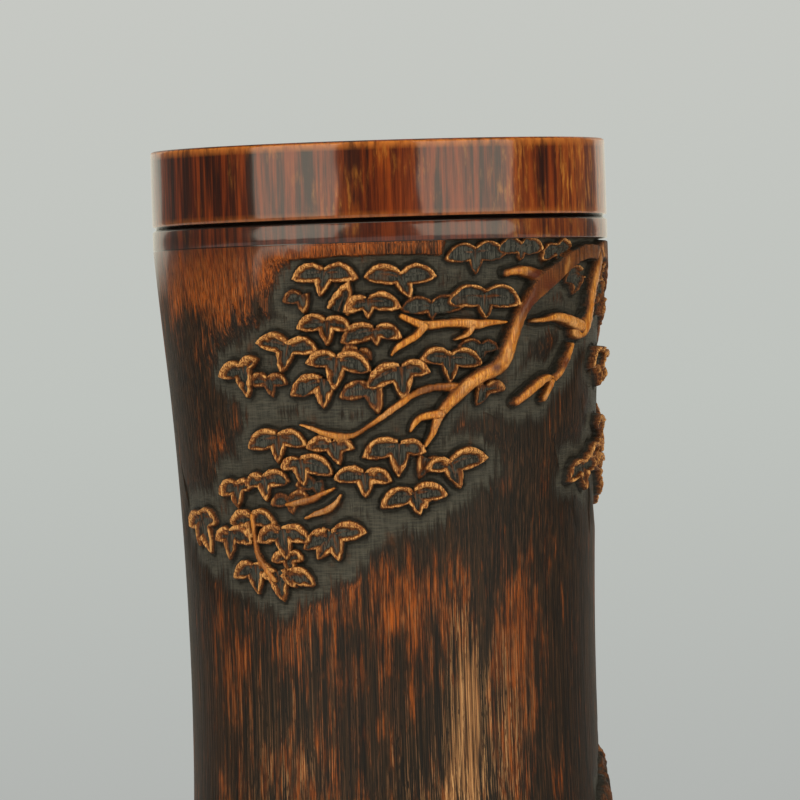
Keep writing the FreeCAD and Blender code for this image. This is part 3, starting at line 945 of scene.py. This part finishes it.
def lacquer_colour(finish):
    """Deep red-brown lacquer over upright fibres: black, red and orange streaks."""
    broad = finish.noise((3.0, 3.0, 70.0), 4.0, 0.6, 0.3)
    strand = finish.noise((1.1, 1.1, 26.0), 5.0, 0.6)
    fleck = finish.noise((1.0, 1.0, 5.0), 4.0, 0.6)
    cloud = finish.noise((12.0, 12.0, 24.0), 3.0)
    deep = finish.mix(finish.span(strand, 0.36, 0.66), colour(70, 23, 5), colour(132, 54, 13))
    deep = finish.mix(finish.span(broad, 0.53, 0.4, 0.0, 0.85), deep, colour(30, 11, 5))
    glow = finish.mix(finish.span(strand, 0.36, 0.64), colour(104, 40, 6), colour(166, 80, 18))
    glow = finish.mix(finish.span(fleck, 0.48, 0.7, 0.0, 0.75), glow, colour(204, 130, 50))
    right = finish.span(finish.place_along("X"), 14.0, 46.0)
    warm = finish.add(finish.times(right, 0.3), cloud)
    warm = finish.add(warm, finish.times(fleck, 0.3))
    body = finish.mix(finish.span(warm, 0.68, 1.02), deep, glow)
    # Painted shade: near-black in the V-groove under the lip.
    return finish.mix(finish.read("groove"), body, colour(18, 12, 8))


def stained_skin(finish, warm, pale):
    """The uncarved culm: near-black stain, broken by glowing streaks and worn fibres."""
    streak = finish.noise((1.3, 1.3, 12.0), 6.0, 0.66)
    band = finish.noise((1.8, 1.8, 90.0), 4.0, 0.6)
    strand = finish.noise((0.45, 0.45, 50.0), 5.0, 0.7)
    hair = finish.noise((0.2, 0.2, 70.0), 3.0, 0.6)
    fleck = finish.noise((0.3, 0.3, 2.0), 2.0, 0.5)
    cloud = finish.noise((8.0, 8.0, 14.0), 3.0, 0.6)
    deep = finish.mix(finish.span(strand, 0.42, 0.62), colour(20, 14, 9), colour(54, 36, 20))
    between = finish.mix(finish.span(warm, 0.6, 1.6), colour(48, 20, 6), colour(122, 56, 14))
    glow = finish.mix(finish.span(strand, 0.38, 0.62), between, colour(176, 86, 20))
    amount = finish.total((streak, 1.2), (warm, 0.27), (cloud, 0.7), (band, 0.5))
    body = finish.mix(finish.span(amount, 1.2, 1.56), deep, glow)
    worn = finish.total((pale, 0.6), (streak, 0.6), (band, 1.1), (strand, 0.9))
    bare = finish.mix(finish.span(strand, 0.36, 0.62), colour(86, 49, 25), colour(186, 130, 82))
    body = finish.mix(finish.span(worn, 1.6, 2.1), body, bare)
    rub = finish.add(0.4, finish.times(pale, 0.7))
    light_hairs = finish.times(finish.span(hair, 0.53, 0.64), rub)
    light_hairs = finish.times(light_hairs, finish.span(fleck, 0.32, 0.5))
    bright = finish.add(pale, finish.times(finish.span(amount, 1.15, 1.6), 0.6))
    hair_colour = finish.mix(finish.span(bright, 0.0, 1.0), colour(112, 72, 46), colour(216, 162, 108))
    body = finish.mix(light_hairs, body, hair_colour)
    return finish.mix(finish.span(hair, 0.48, 0.38, 0.0, 0.85), body, colour(18, 13, 8))


def carved_bamboo():
    """Dark stained bamboo, rubbed back to tan on the carving's crests, lacquered on the band."""
    finish = Finish("carved_bamboo")
    crest = finish.read("crest")
    limb = finish.read("limb")
    polish = finish.read("polish")
    fine = finish.noise((0.5, 0.5, 14.0), 3.0, 0.6)
    hatch = finish.span(finish.noise((0.3, 0.3, 8.0), 2.0, 0.5), 0.4, 0.6)
    patch = finish.noise((5.0, 5.0, 7.0), 3.0, 0.6)
    knife = finish.noise((3.0, 3.0, 0.35), 3.0, 0.6)

    body = stained_skin(finish, finish.read("warm"), finish.read("pale"))
    cut = finish.mix(finish.times(hatch, 0.5), colour(54, 52, 46), colour(82, 79, 71))
    cut = finish.mix(finish.span(knife, 0.35, 0.65, 0.0, 0.5), cut, colour(100, 94, 82))
    cut = finish.mix(finish.span(patch, 0.5, 0.75, 0.0, 0.3), cut, colour(62, 46, 31))
    edge = finish.add(finish.read("stain"), finish.times(finish.minus(fine, 0.5), 1.4))
    body = finish.mix(finish.span(edge, 0.0, 0.4, 0.0, 0.75), body, colour(32, 25, 18))
    body = finish.mix(finish.span(edge, 0.3, 0.85, 0.0, 0.95), body, cut)
    # Painted shade on the ground close round the carving.
    body = finish.mix(finish.span(finish.read("crevice_shade"), 0.1, 0.9, 0.0, 0.8), body, colour(24, 20, 15))
    dish = finish.mix(hatch, colour(38, 38, 35), colour(80, 78, 71))
    dish = finish.mix(finish.span(patch, 0.56, 0.72, 0.0, 0.45), dish, colour(98, 60, 32))
    body = finish.mix(finish.read("hollow"), body, dish)

    shade = finish.mix(hatch, colour(76, 38, 14), colour(122, 68, 30))
    ridge = finish.mix(hatch, colour(138, 76, 34), colour(234, 170, 100))
    bark = finish.mix(finish.span(fine, 0.3, 0.65), colour(190, 104, 26), colour(236, 156, 60))
    bark = finish.mix(finish.span(patch, 0.46, 0.7, 0.0, 0.7), bark, colour(236, 176, 112))
    bark = finish.mix(finish.times(hatch, 0.5), bark, colour(126, 66, 22))
    dusk = finish.add(finish.read("dusk"), finish.minus(fine, 0.5))
    bark = finish.mix(finish.span(dusk, 0.0, 1.0, 0.0, 0.97), bark, colour(88, 32, 8))
    rubbed = finish.add(crest, finish.times(finish.minus(patch, 0.5), 0.9))
    body = finish.mix(finish.span(rubbed, 0.1, 0.45), body, shade)
    body = finish.mix(finish.span(rubbed, 0.4, 0.88), body, finish.mix(limb, ridge, bark))

    band = finish.mix(0.3, lacquer_colour(finish), colour(30, 12, 6))
    # The band's lacquer, with the painted shade in the groove.
    body = finish.mix(finish.larger(polish, finish.read("groove")), body, band)
    bore = finish.mix(finish.span(fine, 0.35, 0.65), colour(120, 82, 46), colour(168, 124, 76))
    body = finish.mix(finish.read("inside"), body, bore)

    marks = finish.times(knife, finish.span(edge, 0.3, 0.8))
    grain = finish.add(finish.times(fine, 0.8), marks)
    finish.bump(finish.times(grain, finish.minus(1.0, polish)), 0.22)
    rubbed_limb = finish.times(limb, finish.span(crest, 0.5, 0.9))
    gloss = finish.larger(polish, finish.times(rubbed_limb, 0.3))
    finish.set(base_color=body, roughness=finish.span(gloss, 0.0, 1.0, 0.55, 0.3))
    finish.set(specular_ior_level=0.22, coat_weight=gloss, coat_roughness=0.12)
    return finish.material


def lacquered_lip():
    """The ring's lacquer, rubbed to orange on its edges."""
    finish = Finish("lacquered_lip")
    mottle = finish.noise((1.6, 1.6, 5.0), 3.0, 0.6)
    fine = finish.noise((0.5, 0.5, 9.0), 3.0, 0.6)
    edge = finish.times(finish.read("rub"), finish.span(mottle, 0.3, 0.6, 0.25, 1.0))
    body = finish.mix(edge, lacquer_colour(finish), colour(196, 112, 44))
    finish.bump(finish.add(finish.times(fine, 0.4), mottle), 0.04)
    finish.set(base_color=body, roughness=0.3, specular_ior_level=0.1)
    top_face = finish.span(finish.place_along("Z"), TOP - 0.9, TOP - 0.1)
    finish.set(coat_weight=finish.span(top_face, 0.0, 1.0, 1.0, 0.2), coat_roughness=0.1)
    return finish.material


def plain_bamboo(name, dark, light, band):
    """Unpainted bamboo or pale wood, with fibres along one axis, and darker lines between."""
    finish = Finish(name)
    line = finish.noise(band, 4.0, 0.6)
    fleck = finish.noise(tuple(size * 0.25 for size in band), 3.0, 0.6)
    cloud = finish.noise(11.0, 3.0)
    body = finish.mix(finish.span(line, 0.35, 0.65), dark, light)
    body = finish.mix(finish.span(fleck, 0.6, 0.75, 0.0, 0.55), body, dark)
    body = finish.mix(finish.span(cloud, 0.5, 0.75, 0.0, 0.4), body, colour(90, 58, 34))
    finish.bump(finish.add(line, fleck), 0.12)
    finish.set(base_color=body, roughness=finish.span(fleck, 0.3, 0.7, 0.4, 0.6))
    return finish.material


def floor_finish():
    """The table: pale, with the faintest clouding."""
    finish = Finish("table_top")
    cloud = finish.noise(120.0, 2.0)
    finish.set(base_color=finish.mix(cloud, colour(212, 216, 228), colour(218, 222, 232)), roughness=0.7)
    return finish.material


# ---- the pot
def dress(piece, material):
    """Give a piece one material, and no other."""
    piece.data.materials.clear()
    piece.data.materials.append(material)


wall = culm()
thin_out(wall, CULM_FACES)
dress(wall, carved_bamboo())
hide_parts("culm_wall")
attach(wall, "root")

lip = mouth_ring()
dress(lip, lacquered_lip())
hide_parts("mouth_ring")
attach(lip, "root")

floor_wood = plain_bamboo("floor_wood", colour(112, 78, 46), colour(170, 128, 82), (1.2, 26.0, 3.0))
foot_wood = plain_bamboo("foot_bamboo", colour(96, 58, 30), colour(158, 106, 60), (14.0, 14.0, 0.8))
peg_wood = plain_bamboo("peg_bamboo", colour(150, 112, 66), colour(196, 160, 108), (0.6, 0.6, 0.6))
NODE_FINISHES = {
    "floor_disc": floor_wood,
    "foot_right": foot_wood,
    "foot_back": foot_wood,
    "foot_left": foot_wood,
    "floor_pegs": peg_wood,
    "foot_dowels": peg_wood,
}
for node_name, finish_material in NODE_FINISHES.items():
    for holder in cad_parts[node_name].material_slots:
        holder.material = finish_material


# ---- table, light and camera
def table_top():
    """A pale round table under the pot."""
    bpy.ops.mesh.primitive_circle_add(vertices=96, radius=0.5, fill_type="NGON", location=(0, 0, 0))
    top = bpy.context.object
    top.name = "table_top"
    dress(top, floor_finish())


LAMP_TINT = (1.0, 0.97, 0.8)
POT_MIDDLE = Vector((0, 0, 0.09))


def softbox(name, turn, distance, height, wide, tall, radiance):
    """A rectangular light at a turn round the pot, facing its middle."""
    light = bpy.data.lights.new(name, "AREA")
    light.color = LAMP_TINT
    light.shape = "RECTANGLE"
    light.size = wide
    light.size_y = tall
    light.energy = radiance * math.pi * wide * tall
    lamp = bpy.data.objects.new(name, light)
    bpy.context.scene.collection.objects.link(lamp)
    angle = math.radians(turn)
    lamp.location = (distance * math.sin(angle), -distance * math.cos(angle), height)
    lamp.rotation_euler = (POT_MIDDLE - lamp.location).to_track_quat("-Z", "Y").to_euler()
    lamp.visible_camera = False


def backdrop():
    """A pale grey sky for the camera, a little darker low down, and a dim one for the pot."""
    horizon = 0.04
    world = bpy.data.worlds.new("backdrop")
    bpy.context.scene.world = world
    world.use_nodes = True
    nodes, links = world.node_tree.nodes, world.node_tree.links
    place = nodes.new("ShaderNodeTexCoord")
    split = nodes.new("ShaderNodeSeparateXYZ")
    ramp = nodes.new("ShaderNodeValToRGB")
    seen = nodes.new("ShaderNodeLightPath")
    swap = nodes.new("ShaderNodeMix")
    lift = nodes.new("ShaderNodeMapRange")
    swap.data_type = "RGBA"
    links.new(place.outputs["Generated"], split.inputs[0])
    links.new(split.outputs["Z"], lift.inputs["Value"])
    lift.inputs["From Min"].default_value = -horizon
    lift.inputs["From Max"].default_value = horizon
    links.new(lift.outputs[0], ramp.inputs[0])
    ramp.color_ramp.elements[0].color = colour(178, 181, 178)
    ramp.color_ramp.elements[1].color = colour(198, 200, 195)
    middle = ramp.color_ramp.elements.new(0.5)
    middle.color = colour(191, 195, 190)
    links.new(seen.outputs["Is Camera Ray"], swap.inputs["Factor"])
    swap.inputs["A"].default_value = (0.11, 0.11, 0.1, 1.0)
    links.new(ramp.outputs[0], swap.inputs["B"])
    links.new(swap.outputs["Result"], nodes["Background"].inputs["Color"])


def photo_camera():
    """A long lens, level with the upper body, rolled very slightly."""
    away = 2.2
    aside = 0.0032
    level = 0.110
    roll = math.radians(-1.8)
    seen_width = 0.1725
    camera = bpy.data.objects.new("camera", bpy.data.cameras.new("camera"))
    bpy.context.scene.collection.objects.link(camera)
    camera.data.sensor_width = 36.0
    camera.data.lens = camera.data.sensor_width * away / seen_width
    camera.data.clip_start = 0.1
    camera.data.clip_end = 20.0
    camera.location = (aside, -away, level)
    camera.rotation_euler = (
        Matrix.Rotation(math.radians(90.0), 3, "X") @ Matrix.Rotation(roll, 3, "Z")
    ).to_euler()
    bpy.context.scene.camera = camera


table_top()
softbox("left_softbox", -43.0, 1.0, 0.35, 0.85, 1.0, 2.4)
softbox("right_softbox", 45.0, 1.0, 0.25, 0.97, 1.0, 2.2)
softbox("back_wall", 180.0, 1.2, 0.3, 1.9, 1.6, 0.65)
softbox("overhead", 0.0, 0.05, 1.1, 1.0, 1.0, 1.7)
backdrop()
photo_camera()
bpy.context.scene.view_settings.view_transform = "Standard"
